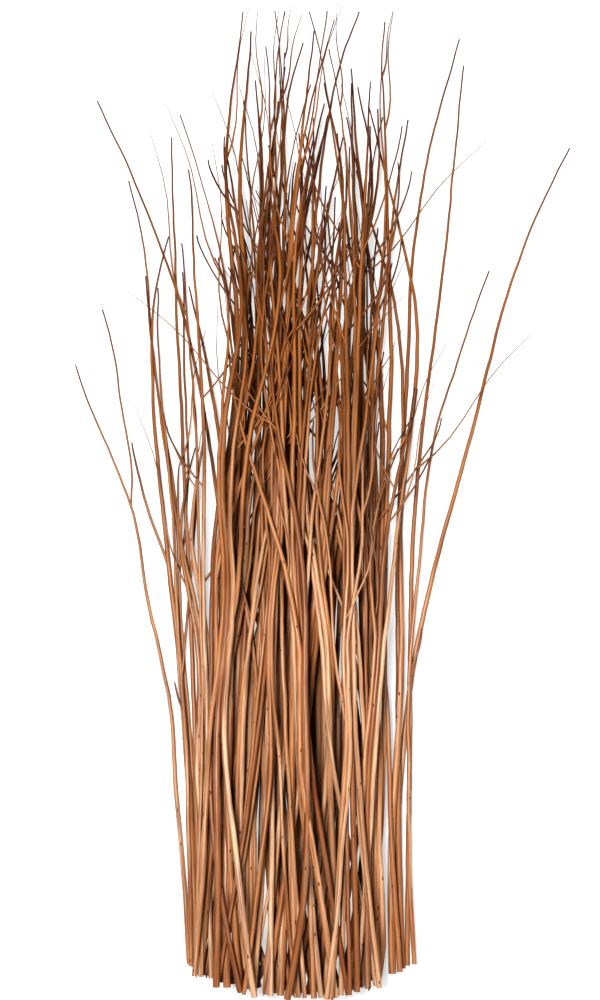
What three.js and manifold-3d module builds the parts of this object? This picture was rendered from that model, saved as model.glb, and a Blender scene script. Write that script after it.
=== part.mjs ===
import * as THREE from 'three';
import { mergeVertices } from 'three/addons/utils/BufferGeometryUtils.js';
import Module from 'manifold-3d';

// A loose bunch of peeled willow stems, lying on a flat surface as it was cut.
// Millimetres. The cut ends (butts) are at -Y, the tips at +Y, and +Z is up from the surface.
// Each mesh is one stray stem or a family of up to six stems, shoots and twigs that grew together.

// The bunch
const SEED = 11;
const FAMILIES = 47; // families that make up the body of the bunch
const BUNCH_LENGTH = 1200; // lowest butt to the longest tip
const BUTT_WIDTH = 272; // across the butts
const BODY_LEFT = -128; // where the body's own butts end, left and right of the strays' middle
const BODY_RIGHT = 94;
const CUT_ARC = 30; // how far the outermost butts lie behind the middle ones
const CUT_UNEVEN = 1.5; // how unevenly the butts are trimmed
const DRAW_IN = 0.62; // the tips' mean place across the bunch, as a share of the butt's
const TIP_SHIFT = 14; // and how far to the right of it
const SPLAY = 36; // how widely single tips stray from that place
const SHORTEST = 0.56; // the shortest stem, as a share of BUNCH_LENGTH

// One stem
const BUTT_RADIUS = [2.6, 4.7];
const TIP_RADIUS = 0.8;
const TAPER = 2.9; // above 1, a stem keeps its thickness low down and thins late
const BOW = 14; // sideways bow at half length
const LEAN = 75; // how strongly a few stems lean aside at the butt before they come back
const LEAN_RIGHT = 5; // how strongly all of them lean to the right
const FLICK = 36; // how far the last stretch of a stem turns aside
const RIPPLE = 12; // how far a stem winds about its own line near its tip
const RIPPLE_TURNS = [1.6, 3.2];
const SIDES = 4; // sides of a stem's section
const SHOOT_SIDES = 3;

// How the stems lie on each other
const STATIONS = 12; // sections between the lowest butt and the longest tip
const CROWDING = 1.2; // above 1, sections are closer together towards the tips, where stems bend most
const SAMPLE = 1; // spacing of the clearance tests
const CLEARANCE = 0.35;
const NESTLE = 0.88; // how closely two square sections nestle beside each other, as a share of round ones
const SINK = 0.84; // distance of two fused stems, as a share of their radii's sum
const FUSED_AT = [0.16, 0.5]; // where two stems are fused, as a share of the first one's length
const FUSED_HALF = [30, 130]; // half the length along which they are fused
const BUTT_APART = [-20, 24]; // how far apart their butts lie; below 0, they have crossed on the way
const TOPMOST = 14; // families on top of the bunch, which lie more loosely
const LOOSE_AT = [0.4, 0.62];
const LOOSE_APART = [-66, 66];
const TOP_APART = [-20, 52]; // how far they part towards the tips
const FREE_BUTT = 20; // the shortest stretch at the butt where two fused stems may part
const HELD = 125; // length along which a shoot keeps to its stem's height, at least one station
const FADE = 170; // length over which fused stems part in height
const STRAY_TAPER = 1.4; // a stray thins sooner
const STRAY_SWING = 0.4; // a stray's bow and lean, as a share of another stem's

// The stems that stand clear of the bunch: butt and tip across the bunch, length, and how late each bends.
// The flick turns the last stretch aside. A shoot forks off at a share of the length, to one side, and
// spreads that far over its own reach.
const STRAYS = [
  { name: 'far_left', butt: -137, tip: -276, reach: 735, bend: 2.5, flick: 0, shoots: [
    { root: 0.76, side: 1, spread: 60, reach: 245, thickness: 0.75 },
  ] },
  { name: 'far_right', butt: 112, tip: 328, reach: 1012, bend: 1.85, flick: 0, shoots: [] },
  { name: 'long_left', butt: -78, tip: -248, reach: 1080, bend: 3.2, flick: 0, shoots: [] },
  { name: 'tall_right', butt: 131, tip: 212, reach: 1105, bend: 2.6, flick: -6, shoots: [
    { root: 0.325, side: 1, spread: 14, reach: 55, thickness: 0.5 },
  ] },
  { name: 'bent_right', butt: 139, tip: 205, reach: 850, bend: 3.4, flick: 28, shoots: [] },
  { name: 'high_right', butt: 124, tip: 168, reach: 1140, bend: 5, flick: 24, shoots: [] },
  { name: 'outer_left', butt: -129.9, tip: -208, reach: 965, bend: 1.9, flick: -4, shoots: [
    { root: 0.5, side: 1, spread: 44, reach: 370, thickness: 0.7 },
  ] },
  { name: 'bowed_left', butt: -130, tip: -256, reach: 895, bend: 2.2, flick: 94, shoots: [
    { root: 0.55, side: -1, spread: 30, reach: 150, thickness: 0.6 },
  ] },
  { name: 'mid_left', butt: -124, tip: -164, reach: 1020, bend: 1.6, flick: 4, shoots: [
    { root: 0.45, side: -1, spread: 36, reach: 390, thickness: 0.7 },
  ] },
  { name: 'short_left', butt: -134, tip: -190, reach: 830, bend: 2.2, flick: 14, shoots: [
    { root: 0.42, side: 1, spread: 40, reach: 360, thickness: 0.7 },
    { root: 0.37, side: -1, spread: 9, reach: 40, thickness: 0.6 },
  ] },
  { name: 'inner_right', butt: 112, tip: 175, reach: 1062, bend: 1.4, flick: -86, shoots: [
    { root: 0.55, side: -1, spread: 34, reach: 400, thickness: 0.7 },
  ] },
  { name: 'cross_right', butt: 121, tip: 62, reach: 1010, bend: 0.9, flick: 0, shoots: [] },
];

// A repeatable stream of random numbers from 0 to 1.
function seeded(seed) {
  let state = seed;
  return () => {
    state = (Math.imul(state, 1664525) + 1013904223) >>> 0;
    return state / 4294967296;
  };
}

const random = seeded(SEED);
const between = (low, high) => low + (high - low) * random();
const bell = () => (random() + random() + random() - 1.5) / 0.5; // spread of 1
const share = (value, low, high) => Math.min(1, Math.max(0, (value - low) / (high - low)));

// The stations are the levels along Y where every stem that passes has a section.
const stations = Array.from({ length: STATIONS + 2 }, (_, k) => (
  k > STATIONS ? BUNCH_LENGTH + 40 : BUNCH_LENGTH * (1 - (1 - k / STATIONS) ** CROWDING)
));
const nearestStation = (y) => stations.reduce((best, own) => (Math.abs(own - y) < Math.abs(best - y) ? own : best));
const levelsOf = (from, to) => [from, ...stations.filter((y) => y > from && y < to), to];

// The last level below y, as an index that leaves room for the next one.
function indexBelow(levels, y) {
  let i = 0;
  while (i < levels.length - 2 && levels[i + 1] < y) i++;
  return i;
}

// A value given at each level, at any y. Past the ends it goes on as straight as it came.
function valueAt(levels, values, y) {
  const i = indexBelow(levels, y);
  const t = (y - levels[i]) / (levels[i + 1] - levels[i]);
  return values[i] + (values[i + 1] - values[i]) * t;
}

// A stem from its line across the bunch, its radius and its hold on the family's first stem (1 where fused).
function makeStem(from, to, lineAt, radiusAt, holdAt, sides) {
  const levels = levelsOf(from, to);
  return {
    from, to, sides, levels, lineAt, radiusAt,
    xs: levels.map(lineAt),
    radii: levels.map(radiusAt),
    holds: levels.map(holdAt),
    heights: [],
  };
}

// Where the cut crosses a stem whose butt has this place across the bunch.
const cutAt = (butt) => CUT_ARC * (butt / (BUTT_WIDTH / 2)) ** 2 + between(0, CUT_UNEVEN);

// The first stem of a family.
function firstStem({ butt, tip, reach, bend, flick = between(-FLICK, FLICK), swing = 1, taper = TAPER }) {
  const from = cutAt(butt);
  const to = Math.min(BUNCH_LENGTH, from + reach);
  const buttRadius = between(...BUTT_RADIUS);
  const bow = swing * between(-BOW, BOW);
  const lean = swing * (LEAN * between(-1, 1) ** 3 + LEAN_RIGHT);
  const ripple = between(-RIPPLE, RIPPLE);
  const turns = between(...RIPPLE_TURNS);
  const lineAt = (y) => {
    const t = Math.max(0, (y - from) / (to - from));
    const drift = (tip - butt) * t ** bend + flick * t ** 6;
    const belly = bow * Math.sin(Math.PI * t) + lean * (1 - (1 - t) ** 3) * (1 - t);
    return butt + drift + belly + ripple * t * Math.sin(2 * Math.PI * turns * t);
  };
  const radiusAt = (y) => TIP_RADIUS + (buttRadius - TIP_RADIUS) * (1 - share(y, from, to) ** taper);
  return makeStem(from, to, lineAt, radiusAt, () => 1, SIDES);
}

// A stem that is fused along the first one for a stretch round a station, and parts from it above and below.
function sideStem(first, side, loose) {
  const length = first.to - first.from;
  const middle = nearestStation(first.from + length * between(...(loose ? LOOSE_AT : FUSED_AT)));
  const half = between(...FUSED_HALF);
  const thinner = between(0.72, 1);
  const apart = between(...(loose ? LOOSE_APART : BUTT_APART));
  const butt = Math.max(BODY_LEFT, Math.min(BODY_RIGHT, first.xs[0] + side * apart));
  const from = cutAt(butt);
  const to = Math.min(BUNCH_LENGTH, first.from + length * between(0.84, 1.14));
  const low = Math.max(middle - half, from + FREE_BUTT);
  const high = middle + half;
  const topApart = between(...TOP_APART);
  const bow = between(-BOW, BOW);
  const flick = between(-FLICK, FLICK);
  const radiusAt = (y) => {
    const own = TIP_RADIUS / thinner + (first.radii[0] - TIP_RADIUS / thinner) * (1 - share(y, from, to) ** TAPER);
    return thinner * Math.min(first.radiusAt(y), own);
  };
  const touchingAt = (y) => SINK * (first.radiusAt(y) + radiusAt(y));
  const buttApart = side * (butt - first.xs[0]) - touchingAt(from);
  const lineAt = (y) => {
    const up = share(y, high, to);
    const above = topApart * up ** 1.5 + bow * Math.sin(Math.PI * up) + flick * up ** 4;
    const below = buttApart * share(y, low, from) ** 1.5;
    return first.lineAt(y) + side * (touchingAt(y) + above + below);
  };
  const holdAt = (y) => 1 - Math.max(share(y, high, high + FADE), share(y, low, low - FADE));
  return makeStem(from, to, lineAt, radiusAt, holdAt, SIDES);
}

// A shoot or twig that forks off the first stem.
function forkedShoot(first, { root, side, spread, reach, thickness }) {
  const from = first.from + (first.to - first.from) * root;
  const to = Math.min(BUNCH_LENGTH, from + reach);
  const rootRadius = Math.max(TIP_RADIUS, thickness * first.radiusAt(from));
  const radiusAt = (y) => TIP_RADIUS + (rootRadius - TIP_RADIUS) * (1 - share(y, from, to) ** TAPER);
  const parting = (y) => side * spread * (1 - (1 - share(y, from, to)) ** 1.5);
  const lineAt = (y) => valueAt(first.levels, first.xs, y) + parting(y);
  const holdAt = (y) => 1 - share(y, from + HELD, from + HELD + FADE);
  return makeStem(from, to, lineAt, radiusAt, holdAt, SHOOT_SIDES);
}

// A shoot that leaves the first stem at its middle and keeps up with it.
function longShoot(first, side) {
  const root = between(0.34, 0.56);
  const reach = (first.to - first.from) * (1 - root) * between(0.82, 1.1);
  return forkedShoot(first, { root, side, spread: between(22, 64), reach, thickness: 0.68 });
}

// The thin twigs near a stem's tip.
function twigsOf(first, count) {
  const twigs = [];
  let side = random() < 0.5 ? -1 : 1;
  for (let i = 0; i < count; i++) {
    const reach = between(70, 160);
    twigs.push(forkedShoot(first, {
      root: between(0.6, 0.88), side, spread: reach * between(0.22, 0.7), reach, thickness: 0.5,
    }));
    side = -side;
  }
  return twigs;
}

// How far each station's section has to be lifted off the surface to clear the stems laid before.
// Each need is met at the station either side of it. Then the dips between high stations are eased, upwards only.
function liftOver(stem, laid) {
  const lifts = stations.map(() => 0);
  const last = lifts.length - 1;
  for (let y = stem.from; ; y = Math.min(y + SAMPLE, stem.to)) {
    const x = valueAt(stem.levels, stem.xs, y);
    const radius = valueAt(stem.levels, stem.radii, y);
    let need = 0;
    for (const other of laid) {
      if (y < other.from || y > other.to) continue;
      const apart = Math.abs(x - valueAt(other.levels, other.xs, y));
      const touching = radius + valueAt(other.levels, other.radii, y) + CLEARANCE;
      if (apart < touching) {
        const round = touching * (stem.sides + other.sides === 2 * SIDES ? NESTLE : 1);
        const clear = Math.max(touching - apart, Math.sqrt(Math.max(0, round * round - apart * apart)));
        need = Math.max(need, valueAt(other.levels, other.heights, y) + clear - radius);
      }
    }
    const below = indexBelow(stations, y);
    for (const k of [below, below + 1]) lifts[k] = Math.max(lifts[k], need);
    if (y >= stem.to) break;
  }
  return lifts.map((lift, k) => (
    Math.max(lift, (lifts[Math.max(0, k - 1)] + 2 * lift + lifts[Math.min(last, k + 1)]) / 4)
  ));
}

// Lays a family over the stems laid before it: the first stem carries the others where they are fused to it.
function lay(family, laid) {
  const [first] = family;
  const own = family.map((stem) => liftOver(stem, laid));
  const holdAt = (stem, k) => {
    const reaches = stations[Math.min(STATIONS, k + 1)] > stem.from && stations[Math.max(0, k - 1)] < stem.to;
    return reaches ? valueAt(stem.levels, stem.holds, Math.min(stem.to, Math.max(stem.from, stations[k]))) : 0;
  };
  const shared = stations.map((_, k) => Math.max(
    own[0][k],
    ...family.slice(1).map((stem, i) => holdAt(stem, k) * own[i + 1][k]),
  ));
  family.forEach((stem, i) => {
    stem.heights = stem.levels.map((y, n) => {
      const alone = valueAt(stations, own[i], y);
      const lift = alone + Math.max(0, valueAt(stations, shared, y) - alone) * stem.holds[n];
      return lift + stem.radii[n] + stem.holds[n] * Math.max(0, first.radiusAt(y) - stem.radii[n]);
    });
  });
  laid.push(...family);
}

// The strays, each with its shoots.
function strayFamilies() {
  return STRAYS.map((stray) => {
    const first = firstStem({ ...stray, swing: STRAY_SWING, taper: STRAY_TAPER });
    return { name: `stem_${stray.name}`, stems: [first, ...stray.shoots.map((shoot) => forkedShoot(first, shoot))] };
  });
}

// The families of the bunch's body. Their butts follow each other by the golden ratio, which spreads them evenly.
function bodyFamilies() {
  return Array.from({ length: FAMILIES }, (_, n) => {
    const butt = BODY_LEFT + (BODY_RIGHT - BODY_LEFT) * (((n + 0.5) * 0.618034) % 1);
    const place = butt * DRAW_IN + bell() * SPLAY;
    const outward = (2 * place) / BUTT_WIDTH;
    const reach = BUNCH_LENGTH * (1 - (1 - SHORTEST) * random()) * (1 - 0.16 * outward * outward);
    const first = firstStem({ butt, tip: place + TIP_SHIFT, reach, bend: between(1, 2) });
    const side = random() < 0.5 ? -1 : 1;
    const loose = n >= FAMILIES - TOPMOST;
    const stems = [first, sideStem(first, side, loose)];
    if (n % 2 > 0) stems.push(sideStem(first, -side, loose));
    if (n % 5 < 2) stems.push(longShoot(first, -side));
    stems.push(...twigsOf(first, n % 3));
    return { name: `stems_${String(n + 1).padStart(2, '0')}`, stems };
  });
}

// A tapered tube through a stem's sections, with flat ends.
function stemGeometry(stem) {
  const positions = [];
  const indices = [];
  const count = stem.levels.length;
  stem.levels.forEach((y, i) => {
    for (let s = 0; s < stem.sides; s++) {
      const angle = (2 * Math.PI * s) / stem.sides - Math.PI / 2;
      positions.push(
        stem.xs[i] + stem.radii[i] * Math.cos(angle), y, stem.heights[i] + stem.radii[i] * Math.sin(angle),
      );
    }
  });
  for (let i = 0; i < count - 1; i++) {
    for (let s = 0; s < stem.sides; s++) {
      const a = i * stem.sides + s;
      const b = i * stem.sides + ((s + 1) % stem.sides);
      indices.push(a, a + stem.sides, b, b, a + stem.sides, b + stem.sides);
    }
  }
  const last = (count - 1) * stem.sides;
  for (let s = 1; s < stem.sides - 1; s++) indices.push(0, s, s + 1, last, last + s + 1, last + s);
  const geometry = new THREE.BufferGeometry();
  geometry.setAttribute('position', new THREE.Float32BufferAttribute(positions, 3));
  geometry.setIndex(indices);
  return geometry;
}

const wasm = await Module();
wasm.setup();

function solidOf(geometry) {
  const merged = mergeVertices(geometry, 1e-4);
  return new wasm.Manifold(new wasm.Mesh({
    numProp: 3,
    vertProperties: new Float32Array(merged.attributes.position.array),
    triVerts: new Uint32Array(merged.index.array),
  }));
}

// One closed geometry of all of a family's stems.
function fuse(stems) {
  const solid = stems.map((stem) => solidOf(stemGeometry(stem))).reduce((joined, next) => joined.add(next));
  const mesh = solid.getMesh();
  const geometry = new THREE.BufferGeometry();
  geometry.setAttribute('position', new THREE.BufferAttribute(mesh.vertProperties, 3));
  geometry.setIndex(new THREE.BufferAttribute(mesh.triVerts, 1));
  return geometry;
}

const bunch = new THREE.Group();
const families = [...strayFamilies(), ...bodyFamilies()];
const laid = [];
for (const { stems } of families) lay(stems, laid);
for (const { name, stems } of families) {
  const material = new THREE.MeshStandardMaterial({ color: 0xb9794a, roughness: 0.55, metalness: 0 });
  const mesh = new THREE.Mesh(fuse(stems), material);
  mesh.name = name;
  bunch.add(mesh);
}

// The origin is under the middle of the bunch, on the surface.
const box = new THREE.Box3().setFromObject(bunch);
bunch.children.forEach((mesh) => mesh.position.set(-(box.min.x + box.max.x) / 2, -(box.min.y + box.max.y) / 2, 0));

export default bunch;
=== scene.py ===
"""A loose bunch of peeled willow stems, lying on a pale floor and seen from straight above.

The stems are laid by the same rule as the part's own solids, so each finished piece lies on its node.
A tree of geometry nodes then gives every stem a round section, a natural crook, bud scars and fine twigs.
"""

import math

import bpy
import numpy as np
from bpy.props import FloatProperty, FloatVectorProperty, IntProperty, PointerProperty
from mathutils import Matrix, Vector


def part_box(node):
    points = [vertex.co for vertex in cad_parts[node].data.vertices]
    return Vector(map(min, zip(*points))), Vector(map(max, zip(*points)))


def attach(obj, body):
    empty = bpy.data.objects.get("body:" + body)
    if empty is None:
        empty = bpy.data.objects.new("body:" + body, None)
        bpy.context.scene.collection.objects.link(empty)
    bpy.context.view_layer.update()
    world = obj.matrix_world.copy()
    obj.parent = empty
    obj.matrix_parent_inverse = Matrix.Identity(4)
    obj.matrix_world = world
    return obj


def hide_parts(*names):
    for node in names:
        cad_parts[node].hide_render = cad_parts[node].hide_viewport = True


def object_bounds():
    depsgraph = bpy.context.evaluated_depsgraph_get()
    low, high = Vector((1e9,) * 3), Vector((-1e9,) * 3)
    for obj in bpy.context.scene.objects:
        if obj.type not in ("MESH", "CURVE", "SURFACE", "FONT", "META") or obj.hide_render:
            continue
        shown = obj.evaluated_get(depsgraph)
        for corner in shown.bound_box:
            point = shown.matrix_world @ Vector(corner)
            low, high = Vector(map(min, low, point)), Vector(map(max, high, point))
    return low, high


bl_info = {
    "name": "Willow Stems",
    "version": (1, 0, 0),
    "blender": (4, 5, 0),
    "location": "View3D > Sidebar > Willow",
    "description": "Builds a loose bunch of peeled willow stems and a studio floor",
    "category": "Add Mesh",
}

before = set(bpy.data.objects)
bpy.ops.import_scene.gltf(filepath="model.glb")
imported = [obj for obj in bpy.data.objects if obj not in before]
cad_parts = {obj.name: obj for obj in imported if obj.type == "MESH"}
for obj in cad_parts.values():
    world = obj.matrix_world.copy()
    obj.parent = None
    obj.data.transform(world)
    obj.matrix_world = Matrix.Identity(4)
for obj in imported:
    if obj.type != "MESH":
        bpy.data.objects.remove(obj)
CAD_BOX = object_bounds()
MM = 0.001

# The bunch, in millimetres, as the part has it
SEED = 11
FAMILIES = 47
BUNCH_LENGTH = 1200
BUTT_WIDTH = 272
BODY_LEFT = -128
BODY_RIGHT = 94
CUT_ARC = 30
CUT_UNEVEN = 1.5
DRAW_IN = 0.62
TIP_SHIFT = 14
SPLAY = 36
SHORTEST = 0.56
ROUNDED = 0.16  # how much shorter the outermost stems are, as a share
GOLDEN = 0.618034  # spreads the butts evenly across the bunch

# One stem
BUTT_RADIUS = (2.6, 4.7)
TIP_RADIUS = 0.8
TAPER = 2.9
BOW = 14
LEAN = 75
LEAN_RIGHT = 5
FLICK = 36
RIPPLE = 12
RIPPLE_TURNS = (1.6, 3.2)
SIDES = 4
SHOOT_SIDES = 3

# How the stems lie on each other
STATIONS = 12
CROWDING = 1.2
SAMPLE = 1
CLEARANCE = 0.35
NESTLE = 0.88
SINK = 0.84
FUSED_AT = (0.16, 0.5)
FUSED_HALF = (30, 130)
BUTT_APART = (-20, 24)
TOPMOST = 14
LOOSE_AT = (0.4, 0.62)
LOOSE_APART = (-66, 66)
TOP_APART = (-20, 52)
FREE_BUTT = 20
THINNER = (0.72, 1)
FUSED_REACH = (0.84, 1.14)
FADE = 170  # the stretch over which a stem's hold on the first one fades
NODE_TOLERANCE = 0.0005  # how far a laid family may miss its own node, in metres

# Shoots and twigs that fork off a stem
SHOOT_ROOT = (0.34, 0.56)
SHOOT_REACH = (0.82, 1.1)
SHOOT_SPREAD = (22, 64)
SHOOT_THICKNESS = 0.68
TWIG_ROOT = (0.6, 0.88)
TWIG_REACH = (70, 160)
TWIG_SPREAD = (0.22, 0.7)
TWIG_THICKNESS = 0.5
HELD = 125

# The stems that stand clear of the bunch
STRAY_TAPER = 1.4
STRAY_SWING = 0.4
STRAYS = [
    dict(name="far_left", butt=-137, tip=-276, reach=735, bend=2.5, flick=0, shoots=[
        dict(root=0.76, side=1, spread=60, reach=245, thickness=0.75),
    ]),
    dict(name="far_right", butt=112, tip=328, reach=1012, bend=1.85, flick=0, shoots=[]),
    dict(name="long_left", butt=-78, tip=-248, reach=1080, bend=3.2, flick=0, shoots=[]),
    dict(name="tall_right", butt=131, tip=212, reach=1105, bend=2.6, flick=-6, shoots=[
        dict(root=0.325, side=1, spread=14, reach=55, thickness=0.5),
    ]),
    dict(name="bent_right", butt=139, tip=205, reach=850, bend=3.4, flick=28, shoots=[]),
    dict(name="high_right", butt=124, tip=168, reach=1140, bend=5, flick=24, shoots=[]),
    dict(name="outer_left", butt=-129.9, tip=-208, reach=965, bend=1.9, flick=-4, shoots=[
        dict(root=0.5, side=1, spread=44, reach=370, thickness=0.7),
    ]),
    dict(name="bowed_left", butt=-130, tip=-256, reach=895, bend=2.2, flick=94, shoots=[
        dict(root=0.55, side=-1, spread=30, reach=150, thickness=0.6),
    ]),
    dict(name="mid_left", butt=-124, tip=-164, reach=1020, bend=1.6, flick=4, shoots=[
        dict(root=0.45, side=-1, spread=36, reach=390, thickness=0.7),
    ]),
    dict(name="short_left", butt=-134, tip=-190, reach=830, bend=2.2, flick=14, shoots=[
        dict(root=0.42, side=1, spread=40, reach=360, thickness=0.7),
        dict(root=0.37, side=-1, spread=9, reach=40, thickness=0.6),
    ]),
    dict(name="inner_right", butt=112, tip=175, reach=1062, bend=1.4, flick=-86, shoots=[
        dict(root=0.55, side=-1, spread=34, reach=400, thickness=0.7),
    ]),
    dict(name="cross_right", butt=121, tip=62, reach=1010, bend=0.9, flick=0, shoots=[]),
]

# The finished stems
RING = 7.0  # spacing of a stem's sections, in millimetres
FORK_RISE = 0.12  # how far a fine twig rises for each metre that it parts sideways
FINEST = 0.0003  # radius of the finest tips, in metres
TWIG_LOOKS = dict(parting=0.26, thickness=0.00075, lowest=0.6, seed=33)
SHOOT_LOOKS = dict(parting=0.1, thickness=0.0013, lowest=0.45, seed=43)
STRAY_TONES = (0.12, 0.4)  # the strays' depth of colour, from 0 (most stained) to 1 (palest)
CUT = 1.0  # the surface value of a cut face; sides have 0
SCAR = 2.0  # and of a bud scar

# Heights along the bunch, in metres, between which the wood turns from its lower to its upper colour. The
# upper colour is partly the wood's own and partly painted shade, darker where the light falls off towards
# the tips.
WOOD_AND_SHADE_TURNS = (0.4, 0.74)

# The stage, in metres
FLOOR_REACH = 40.0  # from the middle to each edge, so that low views see no edge
KEY_PLACE = (-0.5, 0.1, 2.9)
KEY_SIZE = 0.6
FILL_PLACE = (1.6, 0.4, 2.2)
FILL_SIZE = 1.4


# What a user can change

class WillowShape(bpy.types.PropertyGroup):
    section_sides: IntProperty(
        name="Section sides", description="Sides of a stem's round section", default=10, min=6, max=24,
    )
    crook: FloatProperty(
        name="Crook", description="How far a stem winds about its line near its tip",
        default=0.0032, min=0, max=0.01, unit="LENGTH",
    )
    scar_spacing: FloatProperty(
        name="Scar spacing", description="Mean distance of bud scars along a stem",
        default=0.055, min=0.02, max=0.3, unit="LENGTH",
    )
    twig_spacing: FloatProperty(
        name="Twig spacing", description="Mean distance of the finest twigs along the upper stems",
        default=0.7, min=0.05, max=2, unit="LENGTH",
    )
    twig_length: FloatProperty(
        name="Twig length", description="Mean length of the finest twigs",
        default=0.045, min=0.01, max=0.12, unit="LENGTH",
    )
    shoot_spacing: FloatProperty(
        name="Shoot spacing", description="Mean distance of the long fine shoots along the upper stems",
        default=0.55, min=0.05, max=1, unit="LENGTH",
    )
    shoot_length: FloatProperty(
        name="Shoot length", description="Mean length of the long fine shoots",
        default=0.19, min=0.05, max=0.4, unit="LENGTH",
    )
    seed: IntProperty(name="Seed", description="Changes crook, scars and fine twigs", default=4, min=0)


def hex_colour(code):
    """An sRGB hex colour as linear red, green, blue and alpha."""
    channels = [int(code[i:i + 2], 16) / 255 for i in (0, 2, 4)]
    linear = [c / 12.92 if c <= 0.04045 else ((c + 0.055) / 1.055) ** 2.4 for c in channels]
    return (*linear, 1.0)


def colour_property(name, description, code):
    return FloatVectorProperty(
        name=name, description=description, subtype="COLOR", size=4, min=0, max=1, default=hex_colour(code),
    )


class WillowColours(bpy.types.PropertyGroup):
    lower_wood: colour_property("Lower wood", "Peeled wood near the butts", "a5754e")
    # Darker than the lower wood partly as painted shade, where the light falls off towards the tips
    upper_wood_and_shade: colour_property("Upper wood", "Wood of the upper stems", "86511a")
    pale_wood: colour_property("Pale wood", "The palest stems", "cbae93")
    tip_wood: colour_property("Tips", "Dried tips", "45190c")
    stain: colour_property("Stain", "Tannin stains and thin bark near the butts", "5a2607")
    upper_stain: colour_property("Upper stain", "Tannin stains of the upper stems", "57310f")
    scar: colour_property("Bud scars", "Bark left at the buds", "57281a")
    cut_wood: colour_property("Cut wood", "End grain at the butts", "e0bb8c")
    pith: colour_property("Pith", "Pith in the middle of a cut", "7b4a2a")


class WillowStage(bpy.types.PropertyGroup):
    floor_colour: colour_property("Floor", "The opal sheet's own colour", "9b9b9b")
    floor_glow: FloatProperty(
        name="Floor glow", description="Strength of the light from under the opal sheet",
        default=0.45, min=0, max=2,
    )
    view_height: FloatProperty(
        name="View height", description="Length of the floor that the picture shows",
        default=1.206, min=0.5, max=4, unit="LENGTH",
    )
    view_shift: FloatProperty(
        name="View shift", description="How far the picture's middle lies beside the bunch's middle",
        default=-0.027, unit="LENGTH",
    )
    lens: FloatProperty(name="Lens", description="Focal length in millimetres", default=100, min=20, max=400)
    key_power: FloatProperty(
        name="Key light", description="Power of the main soft light", default=118, unit="POWER",
    )
    fill_power: FloatProperty(
        name="Fill light", description="Power of the far side's soft light", default=24, unit="POWER",
    )
    sky: FloatProperty(name="Sky", description="Strength of the even light from all round", default=0.1)


# A repeatable stream of random numbers, as the part draws them

class Draws:
    def __init__(self, seed):
        self.state = seed

    def next(self):
        self.state = (self.state * 1664525 + 1013904223) % 4294967296
        return self.state / 4294967296

    def between(self, low, high):
        return low + (high - low) * self.next()

    def bell(self):
        return (self.next() + self.next() + self.next() - 1.5) / 0.5


draws = Draws(SEED)


def share(value, low, high):
    """How far a value lies between low and high, from 0 to 1."""
    return np.clip((np.asarray(value, float) - low) / (high - low), 0, 1)


def station_levels():
    levels = [BUNCH_LENGTH * (1 - (1 - k / STATIONS) ** CROWDING) for k in range(STATIONS + 1)]
    return np.array(levels + [BUNCH_LENGTH + 40])


stations = station_levels()


class Stem:
    """A stem's line across the bunch, its radius, and its hold on the family's first stem.

    The part's own line runs straight between levels, and line_at is the smooth one through them.
    """

    def __init__(self, start, end, line_at, radius_at, hold_at, sides, straight_at=None):
        self.start = start
        self.end = end
        self.sides = sides
        self.line_at = line_at
        self.radius_at = radius_at
        inner = stations[(stations > start) & (stations < end)]
        self.levels = np.concatenate([[start], inner, [end]])
        self.xs = (straight_at or line_at)(self.levels)
        self.radii = radius_at(self.levels)
        self.holds = hold_at(self.levels)
        self.heights = np.zeros(len(self.levels))

    def x(self, y):
        return np.interp(y, self.levels, self.xs)

    def end_slope(self):
        return (self.xs[-1] - self.xs[-2]) / (self.levels[-1] - self.levels[-2])

    def straight_beyond(self, y):
        """The part's own line, which goes on past the tip as straight as it came."""
        return self.x(y) + self.end_slope() * np.maximum(0, y - self.end)

    def smooth_beyond(self, y):
        """The smooth line, which goes on past the tip in the same way."""
        return self.line_at(np.minimum(y, self.end)) + self.end_slope() * np.maximum(0, y - self.end)

    def radius(self, y):
        return np.interp(y, self.levels, self.radii)

    def height(self, y):
        return np.interp(y, self.levels, self.heights)


def cut_at(butt):
    """Where the cut crosses a stem whose butt has this place across the bunch."""
    return CUT_ARC * (butt / (BUTT_WIDTH / 2)) ** 2 + draws.between(0, CUT_UNEVEN)


def first_stem(butt, tip, reach, bend, flick=None, swing=1, taper=TAPER):
    """The first stem of a family."""
    if flick is None:
        flick = draws.between(-FLICK, FLICK)
    start = cut_at(butt)
    end = min(BUNCH_LENGTH, start + reach)
    butt_radius = draws.between(*BUTT_RADIUS)
    bow = swing * draws.between(-BOW, BOW)
    lean = swing * (LEAN * draws.between(-1, 1) ** 3 + LEAN_RIGHT)
    ripple = draws.between(-RIPPLE, RIPPLE)
    turns = draws.between(*RIPPLE_TURNS)

    def line_at(y):
        t = np.maximum(0, (np.asarray(y, float) - start) / (end - start))
        drift = (tip - butt) * t ** bend + flick * t ** 6
        belly = bow * np.sin(math.pi * t) + lean * (1 - (1 - t) ** 3) * (1 - t)
        return butt + drift + belly + ripple * t * np.sin(2 * math.pi * turns * t)

    def radius_at(y):
        return TIP_RADIUS + (butt_radius - TIP_RADIUS) * (1 - share(y, start, end) ** taper)

    def hold_at(y):
        return np.ones(np.shape(y))

    return Stem(start, end, line_at, radius_at, hold_at, SIDES)


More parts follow.
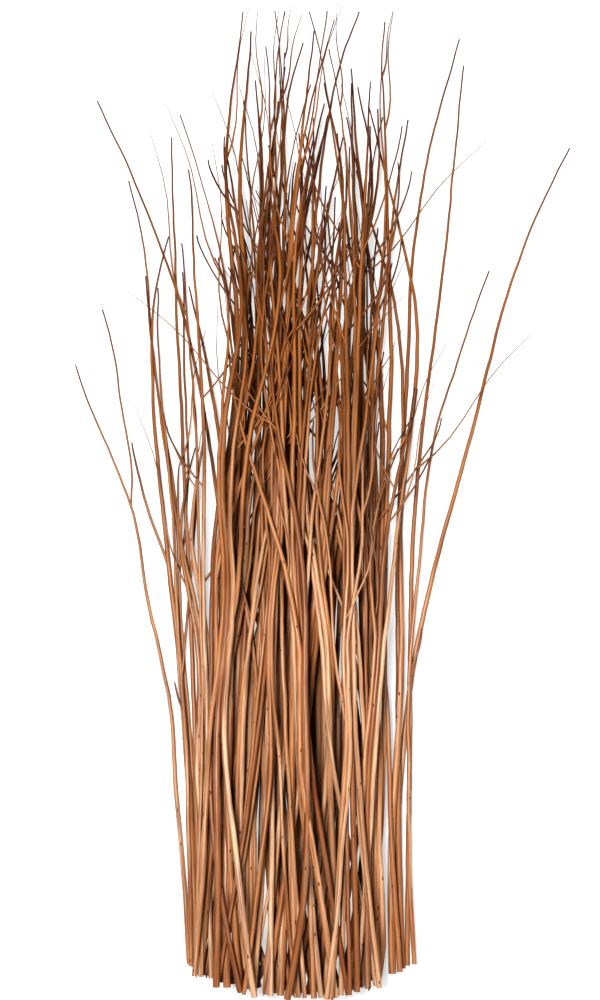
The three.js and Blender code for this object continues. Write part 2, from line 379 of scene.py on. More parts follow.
def side_stem(first, side, loose):
    """A stem that is fused along the first one round a station, and parts from it above and below."""
    length = first.end - first.start
    target = first.start + length * draws.between(*(LOOSE_AT if loose else FUSED_AT))
    middle = stations[np.argmin(np.abs(stations - target))]
    half = draws.between(*FUSED_HALF)
    thinner = draws.between(*THINNER)
    apart = draws.between(*(LOOSE_APART if loose else BUTT_APART))
    butt = float(np.clip(first.xs[0] + side * apart, BODY_LEFT, BODY_RIGHT))
    start = cut_at(butt)
    end = min(BUNCH_LENGTH, first.start + length * draws.between(*FUSED_REACH))
    low = max(middle - half, start + FREE_BUTT)
    high = middle + half
    top_apart = draws.between(*TOP_APART)
    bow = draws.between(-BOW, BOW)
    flick = draws.between(-FLICK, FLICK)
    thin_tip = TIP_RADIUS / thinner

    def radius_at(y):
        own = thin_tip + (first.radii[0] - thin_tip) * (1 - share(y, start, end) ** TAPER)
        return thinner * np.minimum(first.radius_at(y), own)

    def touching_at(y):
        return SINK * (first.radius_at(y) + radius_at(y))

    butt_apart = side * (butt - first.xs[0]) - touching_at(start)

    def line_at(y):
        up = share(y, high, end)
        above = top_apart * up ** 1.5 + bow * np.sin(np.pi * up) + flick * up ** 4
        below = butt_apart * share(y, low, start) ** 1.5
        return first.line_at(y) + side * (touching_at(y) + above + below)

    def hold_at(y):
        return 1 - np.maximum(share(y, high, high + FADE), share(y, low, low - FADE))

    return Stem(start, end, line_at, radius_at, hold_at, SIDES)


def forked_shoot(first, root, side, spread, reach, thickness):
    """A shoot or twig that forks off the first stem."""
    start = first.start + (first.end - first.start) * root
    end = min(BUNCH_LENGTH, start + reach)
    root_radius = max(TIP_RADIUS, thickness * float(first.radius_at(start)))

    def radius_at(y):
        return TIP_RADIUS + (root_radius - TIP_RADIUS) * (1 - share(y, start, end) ** TAPER)

    def parting(y):
        return side * spread * (1 - (1 - share(y, start, end)) ** 1.5)

    def line_at(y):
        return first.smooth_beyond(y) + parting(y)

    def straight_at(y):
        return first.straight_beyond(y) + parting(y)

    def hold_at(y):
        return 1 - share(y, start + HELD, start + HELD + FADE)

    return Stem(start, end, line_at, radius_at, hold_at, SHOOT_SIDES, straight_at)


def long_shoot(first, side):
    """A shoot that leaves the first stem at its middle and keeps up with it."""
    root = draws.between(*SHOOT_ROOT)
    reach = (first.end - first.start) * (1 - root) * draws.between(*SHOOT_REACH)
    spread = draws.between(*SHOOT_SPREAD)
    return forked_shoot(first, root, side, spread, reach, SHOOT_THICKNESS)


def twigs_of(first, count):
    """The thin twigs near a stem's tip."""
    twigs = []
    side = -1 if draws.next() < 0.5 else 1
    for _ in range(count):
        reach = draws.between(*TWIG_REACH)
        root = draws.between(*TWIG_ROOT)
        spread = reach * draws.between(*TWIG_SPREAD)
        twigs.append(forked_shoot(first, root, side, spread, reach, TWIG_THICKNESS))
        side = -side
    return twigs


def stray_families():
    families = []
    for stray in STRAYS:
        line = {key: stray[key] for key in ("butt", "tip", "reach", "bend", "flick")}
        first = first_stem(**line, swing=STRAY_SWING, taper=STRAY_TAPER)
        stems = [first] + [forked_shoot(first, **shoot) for shoot in stray["shoots"]]
        families.append((f"stem_{stray['name']}", stems))
    return families


def body_families():
    families = []
    for n in range(FAMILIES):
        butt = BODY_LEFT + (BODY_RIGHT - BODY_LEFT) * (((n + 0.5) * GOLDEN) % 1)
        place = butt * DRAW_IN + draws.bell() * SPLAY
        outward = 2 * place / BUTT_WIDTH
        reach = BUNCH_LENGTH * (1 - (1 - SHORTEST) * draws.next()) * (1 - ROUNDED * outward * outward)
        first = first_stem(butt, place + TIP_SHIFT, reach, draws.between(1, 2))
        side = -1 if draws.next() < 0.5 else 1
        loose = n >= FAMILIES - TOPMOST
        stems = [first, side_stem(first, side, loose)]
        if n % 2 > 0:
            stems.append(side_stem(first, -side, loose))
        if n % 5 < 2:
            stems.append(long_shoot(first, -side))
        stems += twigs_of(first, n % 3)
        families.append((f"stems_{n + 1:02d}", stems))
    return families


def need_over(stem, ys, laid):
    """How high the stem's underside has to lie at each y to clear the stems laid before."""
    x = stem.x(ys)
    radius = stem.radius(ys)
    need = np.zeros(len(ys))
    for other in laid:
        touching = radius + other.radius(ys) + CLEARANCE
        apart = np.abs(x - other.x(ys))
        over = (ys >= other.start) & (ys <= other.end) & (apart < touching)
        if over.any():
            nestle = NESTLE if stem.sides + other.sides == 2 * SIDES else 1
            square = touching[over] - apart[over]
            round_one = np.sqrt(np.maximum(0, (nestle * touching[over]) ** 2 - apart[over] ** 2))
            top = other.height(ys[over]) + np.maximum(square, round_one)
            need[over] = np.maximum(need[over], top - radius[over])
    return need


def lift_over(stem, laid):
    """How far each station's section has to be lifted off the floor to clear the stems laid before."""
    ys = np.append(np.arange(stem.start, stem.end, SAMPLE), stem.end)
    need = need_over(stem, ys, laid)
    last = len(stations) - 1
    below = np.clip(np.searchsorted(stations, ys, side="left") - 1, 0, last - 1)
    lifts = np.zeros(len(stations))
    for step in (0, 1):
        np.maximum.at(lifts, below + step, need)
    before = np.concatenate([lifts[:1], lifts[:-1]])
    after = np.concatenate([lifts[1:], lifts[-1:]])
    return np.maximum(lifts, (before + 2 * lifts + after) / 4)


def hold_at_station(stem, k):
    """How firmly the stem is held by its family's first stem at a station."""
    if stations[min(STATIONS, k + 1)] <= stem.start or stations[max(0, k - 1)] >= stem.end:
        return 0.0
    return float(np.interp(stations[k], stem.levels, stem.holds))


def lay(family, laid):
    """Lays a family over the stems laid before it."""
    first = family[0]
    own = [lift_over(stem, laid) for stem in family]
    shared = own[0].copy()
    for k in range(len(stations)):
        for stem, lifts in zip(family[1:], own[1:]):
            shared[k] = max(shared[k], hold_at_station(stem, k) * lifts[k])
    for stem, lifts in zip(family, own):
        alone = np.interp(stem.levels, stations, lifts)
        carried = np.interp(stem.levels, stations, shared)
        lift = alone + np.maximum(0, carried - alone) * stem.holds
        thicker = np.maximum(0, first.radius_at(stem.levels) - stem.radii)
        stem.heights = lift + stem.radii + stem.holds * thicker
    laid.extend(family)


def bunch_families():
    """Every family, laid, with the bunch's own middle."""
    families = stray_families() + body_families()
    laid = []
    for _, stems in families:
        lay(stems, laid)
    lows = [np.min(s.xs - s.radii * section_reach(s)) for s in laid]
    highs = [np.max(s.xs + s.radii * section_reach(s)) for s in laid]
    middle_x = (min(lows) + max(highs)) / 2
    middle_y = (min(s.start for s in laid) + max(s.end for s in laid)) / 2
    return families, middle_x, middle_y


def section_reach(stem):
    """How far the part's faceted section reaches sideways, as a share of its radius."""
    return 1.0 if stem.sides == SIDES else math.cos(math.pi / 6)


def check_on_node(name, stems, middle_x, middle_y):
    """Raises an error if a laid family doesn't lie on its own node."""
    low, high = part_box(name)
    left = min(np.min(s.xs - s.radii * section_reach(s)) for s in stems) - middle_x
    right = max(np.max(s.xs + s.radii * section_reach(s)) for s in stems) - middle_x
    near = min(s.start for s in stems) - middle_y
    far = max(s.end for s in stems) - middle_y
    pairs = ((left, low.x), (right, high.x), (near, low.y), (far, high.y))
    miss = max(abs(laid * MM - own) for laid, own in pairs)
    if miss > NODE_TOLERANCE:
        raise RuntimeError(f"{name} was laid {miss / MM:.2f} mm off its node")


# The stems' centre lines

def smoothed(values, width):
    """A running mean that keeps both ends."""
    padded = np.concatenate([[values[0]] * width, values, [values[-1]] * width])
    kernel = np.ones(2 * width + 1) / (2 * width + 1)
    return np.convolve(padded, kernel, mode="valid")


def centre_line(stem, middle_x, middle_y):
    """Points along a stem's middle in metres, with its radius at each."""
    count = max(4, int(round((stem.end - stem.start) / RING)) + 1)
    ys = np.linspace(stem.start, stem.end, count)
    height = smoothed(stem.height(ys), 2)
    points = np.column_stack([stem.line_at(ys) - middle_x, ys - middle_y, height])
    return points * MM, stem.radius_at(ys) * MM


def line_object(name, stems, middle_x, middle_y, tones):
    """An object of a family's centre lines, with the values that the node tree and the materials read."""
    points, edges = [], []
    columns = {"stem_radius": [], "along": [], "tone": [], "reach": []}
    for stem, tone in zip(stems, tones):
        line, radii = centre_line(stem, middle_x, middle_y)
        offset = len(points)
        points.extend(line.tolist())
        edges.extend((offset + i, offset + i + 1) for i in range(len(line) - 1))
        columns["stem_radius"].extend(radii.tolist())
        columns["along"].extend((line[:, 1] + middle_y * MM).tolist())
        columns["tone"].extend([tone] * len(line))
        columns["reach"].extend(np.linspace(float(share(stem.start, 0, stem.end)), 1, len(line)).tolist())
    mesh = bpy.data.meshes.new(f"{name}_lines")
    mesh.from_pydata(points, edges, [])
    for key, values in columns.items():
        mesh.attributes.new(key, "FLOAT", "POINT").data.foreach_set("value", np.array(values, np.float32))
    lines = bpy.data.objects.new(f"{name}_lines", mesh)
    bpy.context.scene.collection.objects.link(lines)
    return lines


# Node trees

def add_node(tree, kind, inputs=None, **settings):
    """Adds a node, sets its settings, and fills or links its inputs."""
    node = tree.nodes.new(kind)
    for name, value in settings.items():
        setattr(node, name, value)
    for key, value in (inputs or {}).items():
        if isinstance(value, bpy.types.NodeSocket):
            tree.links.new(value, node.inputs[key])
        else:
            node.inputs[key].default_value = value
    return node


def math_node(tree, operation, first, second=0.0):
    return add_node(tree, "ShaderNodeMath", {0: first, 1: second}, operation=operation).outputs[0]


def named(tree, name, data_type="FLOAT"):
    return add_node(tree, "GeometryNodeInputNamedAttribute", {0: name}, data_type=data_type).outputs[0]


def stored(tree, geometry, name, value, data_type="FLOAT", domain="POINT"):
    return add_node(
        tree, "GeometryNodeStoreNamedAttribute", {0: geometry, 2: name, 3: value},
        data_type=data_type, domain=domain,
    ).outputs[0]


def tree_inputs(tree):
    """The sizes and finishes that the stems' node tree takes."""
    wanted = [
        ("Centre lines", "NodeSocketGeometry"),
        ("Section sides", "NodeSocketInt"),
        ("Crook", "NodeSocketFloat"),
        ("Scar chance", "NodeSocketFloat"),
        ("Twig chance", "NodeSocketFloat"),
        ("Twig length", "NodeSocketFloat"),
        ("Shoot chance", "NodeSocketFloat"),
        ("Shoot length", "NodeSocketFloat"),
        ("Seed", "NodeSocketInt"),
        ("Willow", "NodeSocketMaterial"),
        ("Cut wood", "NodeSocketMaterial"),
        ("Scar", "NodeSocketMaterial"),
    ]
    for name, kind in wanted:
        tree.interface.new_socket(name=name, in_out="INPUT", socket_type=kind)
    tree.interface.new_socket(name="Stems", in_out="OUTPUT", socket_type="NodeSocketGeometry")
    return tree.nodes.new("NodeGroupInput").outputs


def crooked_lines(tree, curves, given):
    """The centre lines wind a little, more so where a stem is thin, as shoots do from bud to bud."""
    position = add_node(tree, "GeometryNodeInputPosition").outputs[0]
    tone = named(tree, "tone")
    apart = math_node(tree, "MULTIPLY", tone, 50.0)
    offset_seed = math_node(tree, "ADD", apart, given["Seed"])
    # Bends about 70 mm long, with finer ones on them
    wave = add_node(
        tree, "ShaderNodeTexNoise",
        {"Vector": position, "W": offset_seed, "Scale": 14.0, "Detail": 2.0, "Roughness": 0.62},
        noise_dimensions="4D",
    ).outputs["Color"]
    centred = add_node(
        tree, "ShaderNodeVectorMath", {0: wave, 1: (0.5, 0.5, 0.42)}, operation="SUBTRACT",
    ).outputs[0]
    growth = add_node(
        tree, "ShaderNodeMapRange", {0: named(tree, "reach"), 1: 0.0, 2: 0.8, 3: 0.8, 4: 1.9},
    ).outputs[0]
    amount = math_node(tree, "MULTIPLY", growth, given["Crook"])
    sideways = add_node(
        tree, "ShaderNodeVectorMath", {0: centred, 1: (1.0, 0.0, 0.35)}, operation="MULTIPLY",
    ).outputs[0]
    offset = add_node(
        tree, "ShaderNodeVectorMath", {0: sideways, 3: amount}, operation="SCALE",
    ).outputs[0]
    return add_node(tree, "GeometryNodeSetPosition", {0: curves, 3: offset}).outputs[0]


def round_tubes(tree, curves, given):
    """A round, closed tube along each line. The cut face at each end is told apart by its many corners."""
    circle = add_node(
        tree, "GeometryNodeCurvePrimitiveCircle", {"Resolution": given["Section sides"], "Radius": 1.0},
    ).outputs[0]
    place = add_node(tree, "GeometryNodeInputPosition").outputs[0]
    profile = stored(tree, circle, "rim", place, data_type="FLOAT_VECTOR")
    tube = add_node(
        tree, "GeometryNodeCurveToMesh",
        {0: curves, 1: profile, 2: named(tree, "stem_radius"), 3: True},
    ).outputs[0]
    corners = add_node(tree, "GeometryNodeInputMeshFaceNeighbors").outputs[0]
    is_cut = math_node(tree, "GREATER_THAN", corners, 4.5)
    marked = stored(tree, tube, "surface", is_cut, domain="FACE")
    is_side = add_node(
        tree, "FunctionNodeBooleanMath", {0: math_node(tree, "LESS_THAN", corners, 4.5)}, operation="AND",
    )
    is_side.inputs[1].default_value = True
    return add_node(
        tree, "GeometryNodeSetShadeSmooth", {0: marked, 1: is_side.outputs[0], 2: True},
    ).outputs[0]


def along_line(tree, spin):
    """A turn that sets a copy's Z along its stem, spun about it."""
    tangent = add_node(tree, "GeometryNodeInputTangent").outputs[0]
    aligned = add_node(
        tree, "FunctionNodeAlignRotationToVector", {"Vector": tangent}, axis="Z",
    ).outputs[0]
    turn = add_node(
        tree, "FunctionNodeAxisAngleToRotation", {"Axis": (0.0, 0.0, 1.0), "Angle": spin},
    ).outputs[0]
    return add_node(
        tree, "FunctionNodeRotateRotation", {0: aligned, 1: turn}, rotation_space="LOCAL",
    ).outputs[0]


def bud_scars(tree, curves, given):
    """Small flat oval scars, set at random places round and along the stems."""
    ball = add_node(tree, "GeometryNodeMeshIcoSphere", {"Radius": 1.0, "Subdivisions": 2}).outputs[0]
    smooth = add_node(tree, "GeometryNodeSetShadeSmooth", {0: ball, 2: True}).outputs[0]
    oval = add_node(
        tree, "GeometryNodeTransform",
        {"Geometry": smooth, "Translation": (0.9, 0.0, 0.0), "Scale": (0.17, 0.26, 0.75)},
    ).outputs[0]
    marked = stored(tree, oval, "surface", SCAR, domain="FACE")
    chosen = add_node(
        tree, "FunctionNodeRandomValue", {"Probability": given["Scar chance"], "Seed": given["Seed"]},
        data_type="BOOLEAN",
    ).outputs[3]
    spin = add_node(
        tree, "FunctionNodeRandomValue", {2: 0.0, 3: 2 * math.pi, "Seed": 21}, data_type="FLOAT",
    ).outputs[1]
    return add_node(
        tree, "GeometryNodeInstanceOnPoints",
        {"Points": curves, "Selection": chosen, "Instance": marked, "Rotation": along_line(tree, spin),
         "Scale": named(tree, "stem_radius")},
    ).outputs[0]


def twig_template(tree, parting, thickness):
    """A short line that parts from its stem and then runs along it, thinning to its tip."""
    line = add_node(
        tree, "GeometryNodeCurvePrimitiveLine", {"Start": (0.0, 0.0, 0.0), "End": (0.0, 0.0, 1.0)},
    ).outputs[0]
    fine = add_node(tree, "GeometryNodeResampleCurve", {"Curve": line, "Count": 9}).outputs[0]
    place = add_node(tree, "GeometryNodeInputPosition").outputs[0]
    up = add_node(tree, "ShaderNodeSeparateXYZ", {0: place}).outputs[2]
    swing = math_node(tree, "MULTIPLY", math_node(tree, "SINE", math_node(tree, "MULTIPLY", up, 7.0)), 0.02)
    bend = math_node(tree, "MULTIPLY", math_node(tree, "POWER", up, 0.75), parting)
    away = add_node(tree, "ShaderNodeCombineXYZ", {0: math_node(tree, "ADD", bend, swing)}).outputs[0]
    bent = add_node(tree, "GeometryNodeSetPosition", {0: fine, 3: away}).outputs[0]
    radius = add_node(
        tree, "ShaderNodeMapRange", {0: up, 1: 0.0, 2: 1.0, 3: thickness, 4: FINEST},
    ).outputs[0]
    grown = stored(tree, bent, "stem_radius", radius)
    return stored(tree, grown, "own_share", up)


def forked_lines(tree, curves, chance, size, parting, thickness, lowest, seed):
    """Copies of a twig, which fork off the stems to the left and right above a height and run level."""
    template = twig_template(tree, parting, thickness)
    chosen = add_node(
        tree, "FunctionNodeRandomValue", {"Probability": chance, "Seed": seed}, data_type="BOOLEAN",
    ).outputs[3]
    high = add_node(
        tree, "FunctionNodeCompare", {0: named(tree, "along"), 1: lowest},
        data_type="FLOAT", operation="GREATER_THAN",
    ).outputs[0]
    both = add_node(tree, "FunctionNodeBooleanMath", {0: chosen, 1: high}, operation="AND").outputs[0]
    tangent = add_node(tree, "GeometryNodeInputTangent").outputs[0]
    level = add_node(
        tree, "ShaderNodeVectorMath", {0: tangent, 1: (1.0, 1.0, 0.0)}, operation="MULTIPLY",
    ).outputs[0]
    upright = add_node(
        tree, "FunctionNodeAlignRotationToVector", {"Vector": level}, axis="Z",
    ).outputs[0]
    sign = add_node(
        tree, "FunctionNodeRandomValue", {2: -1.0, 3: 1.0, "Seed": seed + 1}, data_type="FLOAT",
    ).outputs[1]
    rise = math_node(tree, "MULTIPLY", math_node(tree, "ABSOLUTE", sign), FORK_RISE)
    outward = add_node(tree, "ShaderNodeCombineXYZ", {0: sign, 2: rise}).outputs[0]
    turned = add_node(
        tree, "FunctionNodeAlignRotationToVector", {"Rotation": upright, "Vector": outward},
        axis="X", pivot_axis="Z",
    ).outputs[0]
    length = add_node(
        tree, "FunctionNodeRandomValue", {2: 0.5, 3: 1.4, "Seed": seed + 2}, data_type="FLOAT",
    ).outputs[1]
    room = math_node(tree, "SUBTRACT", BUNCH_LENGTH * MM, named(tree, "along"))
    fitting = math_node(tree, "MINIMUM", math_node(tree, "MULTIPLY", length, size), room)
    return add_node(
        tree, "GeometryNodeInstanceOnPoints",
        {"Points": curves, "Selection": both, "Instance": template, "Rotation": turned, "Scale": fitting},
    ).outputs[0]


def fine_growth(tree, curves, given):
    """The fine twigs and the long fine shoots of the upper stems."""
    twigs = forked_lines(tree, curves, given["Twig chance"], given["Twig length"], **TWIG_LOOKS)
    shoots = forked_lines(tree, curves, given["Shoot chance"], given["Shoot length"], **SHOOT_LOOKS)
    both = tree.nodes.new("GeometryNodeJoinGeometry")
    tree.links.new(twigs, both.inputs[0])
    tree.links.new(shoots, both.inputs[0])
    lines = add_node(tree, "GeometryNodeRealizeInstances", {0: both.outputs[0]}).outputs[0]
    dried = add_node(
        tree, "ShaderNodeMapRange", {0: named(tree, "own_share"), 1: 0.2, 2: 1.0, 3: 0.85, 4: 1.0},
    ).outputs[0]
    aged = stored(tree, lines, "reach", dried)
    circle = add_node(tree, "GeometryNodeCurvePrimitiveCircle", {"Resolution": 5, "Radius": 1.0}).outputs[0]
    tube = add_node(
        tree, "GeometryNodeCurveToMesh", {0: aged, 1: circle, 2: named(tree, "stem_radius"), 3: True},
    ).outputs[0]
    return add_node(tree, "GeometryNodeSetShadeSmooth", {0: tube, 2: True}).outputs[0]


def same_value(tree, value, wanted):
    return add_node(
        tree, "FunctionNodeCompare", {0: value, 1: wanted, "Epsilon": 0.1},
        data_type="FLOAT", operation="EQUAL",
    ).outputs[0]


def finished(tree, geometry, given):
    """Makes every copy real and gives each surface its own finish."""
    real = add_node(tree, "GeometryNodeRealizeInstances", {0: geometry}).outputs[0]
    surface = named(tree, "surface")
    willow = add_node(tree, "GeometryNodeSetMaterial", {0: real, 2: given["Willow"]}).outputs[0]
    is_cut = same_value(tree, surface, CUT)
    cut = add_node(tree, "GeometryNodeSetMaterial", {0: willow, 1: is_cut, 2: given["Cut wood"]}).outputs[0]
    is_scar = same_value(tree, surface, SCAR)
    return add_node(tree, "GeometryNodeSetMaterial", {0: cut, 1: is_scar, 2: given["Scar"]}).outputs[0]


def stem_tree():
    """The node tree that makes finished stems from centre lines."""
    tree = bpy.data.node_groups.new("Willow stems", "GeometryNodeTree")
    given = tree_inputs(tree)
    curves = add_node(tree, "GeometryNodeMeshToCurve", {0: given["Centre lines"]}).outputs[0]
    crooked = crooked_lines(tree, curves, given)
    joined = tree.nodes.new("GeometryNodeJoinGeometry")
    for piece in (
        round_tubes(tree, crooked, given),
        bud_scars(tree, crooked, given),
        fine_growth(tree, crooked, given),
    ):
        tree.links.new(piece, joined.inputs[0])
    add_node(tree, "NodeGroupOutput", {0: finished(tree, joined.outputs[0], given)})
    return tree


def set_inputs(modifier, tree, values):
    """Sets the modifier's inputs, found by name and set by identifier."""
    for item in tree.interface.items_tree:
        if item.in_out == "INPUT" and item.name in values:
            modifier[item.identifier] = values[item.name]


def evaluated_mesh(lines, name):
    """The finished mesh of an object whose modifiers are live. The object itself is removed."""
    depsgraph = bpy.context.evaluated_depsgraph_get()
    mesh = bpy.data.meshes.new_from_object(lines.evaluated_get(depsgraph), depsgraph=depsgraph)
    mesh.name = name
    lines.modifiers.clear()
    bpy.data.objects.remove(lines)
    return mesh


def willow_piece(name, stems, middle_x, middle_y, tones, tree, values):
    """One finished piece for one node of the part."""
    lines = line_object(name, stems, middle_x, middle_y, tones)
    modifier = lines.modifiers.new("stems", "NODES")
    modifier.node_group = tree
    set_inputs(modifier, tree, values)
    piece = bpy.data.objects.new(f"willow_{name}", evaluated_mesh(lines, f"willow_{name}"))
    bpy.context.scene.collection.objects.link(piece)
    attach(piece, "root")
    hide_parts(name)
    return piece


# Materials

def new_material(name):
    material = bpy.data.materials.new(name)
    material.use_nodes = True
    tree = material.node_tree
    shader = tree.nodes["Principled BSDF"]
    return material, tree, shader


def attribute(tree, name):
    return add_node(tree, "ShaderNodeAttribute", attribute_name=name, attribute_type="GEOMETRY")


def blended(tree, amount, below, above, blend_type="MIX"):
    """A colour between two, by an amount from 0 to 1."""
    return add_node(
        tree, "ShaderNodeMix", {0: amount, 6: below, 7: above},
        data_type="RGBA", blend_type=blend_type, clamp_factor=True,
    ).outputs[2]


def ranged(tree, value, low, high, to_low=0.0, to_high=1.0):
    return add_node(
        tree, "ShaderNodeMapRange", {0: value, 1: low, 2: high, 3: to_low, 4: to_high},
    ).outputs[0]


def grain_coordinates(tree):
    """A place on a stem as if it were straight: round its rim and along its length, apart for each stem."""
    rim = attribute(tree, "rim").outputs["Vector"]
    flat = add_node(tree, "ShaderNodeSeparateXYZ", {0: rim})
    along = attribute(tree, "along").outputs["Fac"]
    tone = attribute(tree, "tone").outputs["Fac"]
    return flat, along, math_node(tree, "MULTIPLY", tone, 37.0)


def fibre_noise(tree, per_rim, per_metre, detail):
    """Noise that is drawn out along the stem."""
    flat, along, apart = grain_coordinates(tree)
    place = add_node(
        tree, "ShaderNodeCombineXYZ",
        {0: math_node(tree, "MULTIPLY", flat.outputs[0], per_rim),
         1: math_node(tree, "MULTIPLY", flat.outputs[1], per_rim),
         2: math_node(tree, "MULTIPLY", along, per_metre)},
    ).outputs[0]
    return add_node(
        tree, "ShaderNodeTexNoise",
        {"Vector": place, "W": apart, "Scale": 1.0, "Detail": detail, "Roughness": 0.6},
        noise_dimensions="4D",
    ).outputs[0]


def peeled_willow(colours):
    """Willow wood, stripped of its bark after boiling and dried.

    The tannin from the bark leaves it tan to orange-brown, in long streaks, with a soft satin sheen.
    It darkens towards the tips, partly where the peeling is less clean and partly as painted shade, where
    the light falls off along the bunch.
    """
    material, tree, shader = new_material("peeled willow, dried")
    reach = attribute(tree, "reach").outputs["Fac"]
    along = attribute(tree, "along").outputs["Fac"]
    tone = attribute(tree, "tone").outputs["Fac"]
    # Low down a few stems are pale, and each is paler where the peeling left it clean, in patches
    # about 200 mm long
    palest = ranged(tree, tone, 0.6, 1.0, 0.0, 0.7)
    pale = blended(tree, palest, tuple(colours.lower_wood), tuple(colours.pale_wood))
    clean = fibre_noise(tree, 0.8, 5.0, 1.0)
    cleaned = blended(tree, ranged(tree, clean, 0.5, 0.7, 0.0, 0.7), pale, tuple(colours.pale_wood))
    # The wood turns darker up the bunch: partly its own colour, partly painted shade where the light falls
    # off towards the tips
    turned = ranged(tree, along, *WOOD_AND_SHADE_TURNS, 0.0, 0.94)
    body = blended(tree, turned, cleaned, tuple(colours.upper_wood_and_shade))
    # A few stems are much stained
    higher = ranged(tree, along, *WOOD_AND_SHADE_TURNS)
    stain = blended(tree, higher, tuple(colours.stain), tuple(colours.upper_stain))
    deep = blended(tree, ranged(tree, tone, 0.42, 0.0, 0.0, 0.6), body, stain)
    # Streaks about 2 mm wide and 60 mm long
    streak = fibre_noise(tree, 2.2, 12.0, 3.0)
    streaked = blended(tree, ranged(tree, streak, 0.5, 0.66, 0.0, 0.75), deep, stain)
    # Stains: patches about 100 mm long
    patch = fibre_noise(tree, 0.5, 9.0, 2.0)
    patched = blended(tree, ranged(tree, patch, 0.5, 0.7, 0.0, 0.6), streaked, stain)
    # Fibres about 0.8 mm wide and 25 mm long
    fibre = fibre_noise(tree, 5.0, 30.0, 2.0)
    grained = blended(tree, ranged(tree, fibre, 0.52, 0.6, 0.0, 0.34), patched, stain)
    dried = math_node(tree, "MAXIMUM", ranged(tree, reach, 0.88, 1.0), ranged(tree, along, 1.03, 1.2))
    base = blended(tree, dried, grained, tuple(colours.tip_wood))
    tree.links.new(base, shader.inputs["Base Color"])
    # The cleanly peeled lower wood has a soft sheen, and the upper wood is duller
    tree.links.new(ranged(tree, along, *WOOD_AND_SHADE_TURNS, 0.36, 0.62), shader.inputs["Roughness"])
    shader.inputs["Specular IOR Level"].default_value = 0.35
    relief = add_node(tree, "ShaderNodeBump", {"Strength": 0.35, "Distance": 0.0003, "Height": fibre})
    tree.links.new(relief.outputs[0], shader.inputs["Normal"])
    return material


def cut_willow(colours):
    """Willow end grain, cut with secateurs: pale and matt, with a dark spot of pith and faint rings."""
    material, tree, shader = new_material("willow end grain, cut")
    rim = attribute(tree, "rim").outputs["Vector"]
    radius = add_node(tree, "ShaderNodeVectorMath", {0: rim}, operation="LENGTH").outputs["Value"]
    rings = math_node(tree, "SINE", math_node(tree, "MULTIPLY", radius, 20.0))
    ringed = blended(
        tree, ranged(tree, rings, 0.4, 1.0, 0.0, 0.35), tuple(colours.cut_wood), tuple(colours.pith),
    )
    pith = ranged(tree, radius, 0.2, 0.12)
    edge = ranged(tree, radius, 0.9, 0.98, 0.0, 0.6)
    spotted = blended(tree, pith, ringed, tuple(colours.pith))
    rimmed = blended(tree, edge, spotted, tuple(colours.stain))
    tree.links.new(rimmed, shader.inputs["Base Color"])
    shader.inputs["Roughness"].default_value = 0.75
    return material


def bud_scar_bark(colours):
    """The scrap of bark left round a bud after peeling: dark red-brown and dull."""
    material, _, shader = new_material("willow bark at a bud scar")
    shader.inputs["Base Color"].default_value = tuple(colours.scar)
    shader.inputs["Roughness"].default_value = 0.7
    return material


# The pieces

def build_pieces(wanted):
    """Builds the finished pieces of every family whose name the test accepts."""
    scene = bpy.context.scene
    shape = scene.willow_shape
    colours = scene.willow_colours
    draws.state = SEED
    families, middle_x, middle_y = bunch_families()
    chance = np.random.default_rng(shape.seed)
    tree = stem_tree()
    values = {
        "Section sides": shape.section_sides,
        "Crook": shape.crook,
        "Scar chance": RING * MM / shape.scar_spacing,
        "Twig length": shape.twig_length,
        "Shoot length": shape.shoot_length,
        "Willow": shared_material("peeled willow, dried", peeled_willow, colours),
        "Cut wood": shared_material("willow end grain, cut", cut_willow, colours),
        "Scar": shared_material("willow bark at a bud scar", bud_scar_bark, colours),
    }
    for number, (name, stems) in enumerate(families):
        tones = chance.random(len(stems))
        if name.startswith("stem_"):
            tones = STRAY_TONES[0] + (STRAY_TONES[1] - STRAY_TONES[0]) * tones
        if wanted(name):
            check_on_node(name, stems, middle_x, middle_y)
            own = {"Seed": shape.seed + number, **growth_chances(name, shape)}
            willow_piece(name, stems, middle_x, middle_y, tones, tree, {**values, **own})


def growth_chances(name, shape):
    """The chance of a fine twig or shoot at each section. The strays are bare."""
    if name.startswith("stem_"):
        return {"Twig chance": 0.0, "Shoot chance": 0.0}
    return {"Twig chance": RING * MM / shape.twig_spacing, "Shoot chance": RING * MM / shape.shoot_spacing}


def shared_material(name, make, colours):
    """The material of that name, made once."""
    return bpy.data.materials.get(name) or make(colours)


class WILLOW_OT_strays(bpy.types.Operator):
    """Builds the stems that stand clear of the bunch"""

    bl_idname = "willow.strays"
    bl_label = "Stray stems"

    def execute(self, context):
        build_pieces(lambda name: name.startswith("stem_"))
        return {"FINISHED"}


class WILLOW_OT_body(bpy.types.Operator):
    """Builds the stems that make up the body of the bunch"""

    bl_idname = "willow.body"
    bl_label = "Body of the bunch"

    def execute(self, context):
        build_pieces(lambda name: name.startswith("stems_"))
        return {"FINISHED"}


# The stage

def floor_material(colour, glow):
    """Opal acrylic, sanded matt and lit from below: an even white that keeps shadows faint."""
    material, _, shader = new_material("opal acrylic, sanded and lit from below")
    shader.inputs["Base Color"].default_value = tuple(colour)
    shader.inputs["Roughness"].default_value = 0.9
    shader.inputs["Specular IOR Level"].default_value = 0.1
    shader.inputs["Emission Color"].default_value = (1.0, 1.0, 1.0, 1.0)
    shader.inputs["Emission Strength"].default_value = glow
    return material


def studio_floor(colour, glow):
    """A large level sheet at the height on which the bunch lies."""
    reach = FLOOR_REACH
    mesh = bpy.data.meshes.new("studio_floor")
    corners = [(-reach, -reach, 0), (reach, -reach, 0), (reach, reach, 0), (-reach, reach, 0)]
    mesh.from_pydata(corners, [], [(0, 1, 2, 3)])
    mesh.materials.append(floor_material(colour, glow))
    floor = bpy.data.objects.new("studio_floor", mesh)
    bpy.context.scene.collection.objects.link(floor)


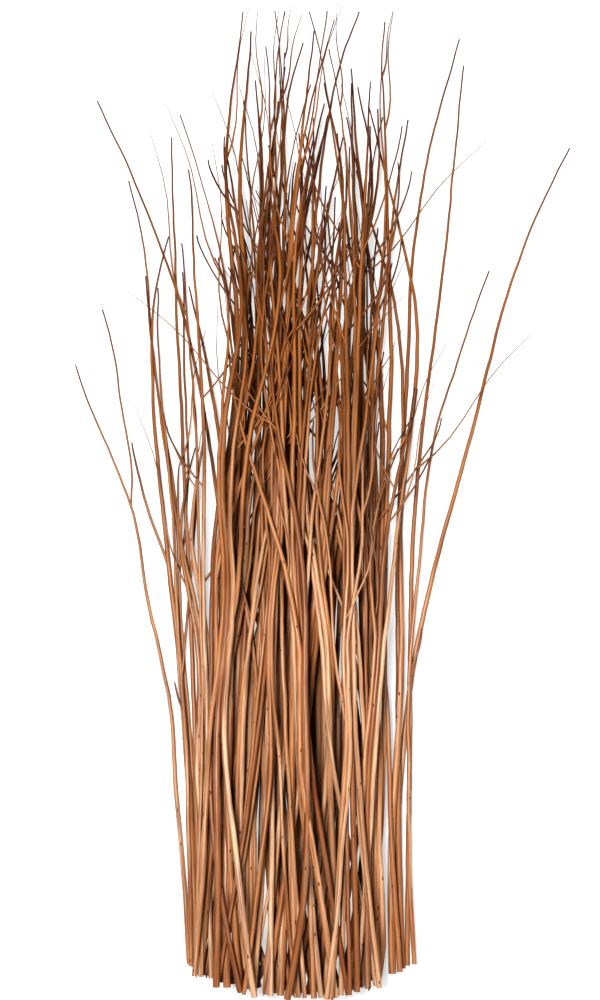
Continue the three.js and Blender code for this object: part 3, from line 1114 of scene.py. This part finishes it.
def soft_light(name, place, power, size):
    """A square soft light that faces the bunch's middle."""
    light = bpy.data.lights.new(name, "AREA")
    light.size = size
    light.energy = power
    holder = bpy.data.objects.new(name, light)
    holder.location = place
    direction = -holder.location
    holder.rotation_euler = direction.to_track_quat("-Z", "Y").to_euler()
    bpy.context.scene.collection.objects.link(holder)


def even_sky(strength):
    world = bpy.data.worlds.new("even_sky")
    world.use_nodes = True
    background = world.node_tree.nodes["Background"]
    background.inputs["Color"].default_value = (1.0, 1.0, 1.0, 1.0)
    background.inputs["Strength"].default_value = strength
    bpy.context.scene.world = world


def top_camera(stage):
    """A camera straight above the bunch, with the tips at the top of the picture."""
    data = bpy.data.cameras.new("from_above")
    data.lens = stage.lens
    data.clip_end = 50
    camera = bpy.data.objects.new("from_above", data)
    distance = stage.view_height * data.lens / data.sensor_width
    camera.location = (stage.view_shift, 0, distance + CAD_BOX[1][2] / 2)
    bpy.context.scene.collection.objects.link(camera)
    bpy.context.scene.camera = camera


class WILLOW_OT_stage(bpy.types.Operator):
    """Builds the floor, the lights and the camera"""

    bl_idname = "willow.stage"
    bl_label = "Studio"

    def execute(self, context):
        stage = context.scene.willow_stage
        studio_floor(stage.floor_colour, stage.floor_glow)
        soft_light("key", KEY_PLACE, stage.key_power, KEY_SIZE)
        soft_light("fill", FILL_PLACE, stage.fill_power, FILL_SIZE)
        even_sky(stage.sky)
        top_camera(stage)
        context.scene.view_settings.view_transform = "Standard"
        context.scene.view_settings.look = "High Contrast"
        return {"FINISHED"}


class WILLOW_PT_panel(bpy.types.Panel):
    bl_idname = "WILLOW_PT_panel"
    bl_label = "Willow stems"
    bl_space_type = "VIEW_3D"
    bl_region_type = "UI"
    bl_category = "Willow"

    def draw(self, context):
        for group in (context.scene.willow_shape, context.scene.willow_colours, context.scene.willow_stage):
            box = self.layout.box()
            for key in group.__annotations__:
                box.prop(group, key)
        for operator in OPERATORS:
            self.layout.operator(operator.bl_idname)


OPERATORS = (WILLOW_OT_strays, WILLOW_OT_body, WILLOW_OT_stage)
CLASSES = (WillowShape, WillowColours, WillowStage, *OPERATORS, WILLOW_PT_panel)


def register():
    for cls in CLASSES:
        bpy.utils.register_class(cls)
    bpy.types.Scene.willow_shape = PointerProperty(type=WillowShape)
    bpy.types.Scene.willow_colours = PointerProperty(type=WillowColours)
    bpy.types.Scene.willow_stage = PointerProperty(type=WillowStage)


def unregister():
    del bpy.types.Scene.willow_stage
    del bpy.types.Scene.willow_colours
    del bpy.types.Scene.willow_shape
    for cls in reversed(CLASSES):
        bpy.utils.unregister_class(cls)


def main():
    register()
    bpy.ops.willow.strays()
    bpy.ops.willow.body()
    bpy.ops.willow.stage()


if __name__ == "__main__":
    main()
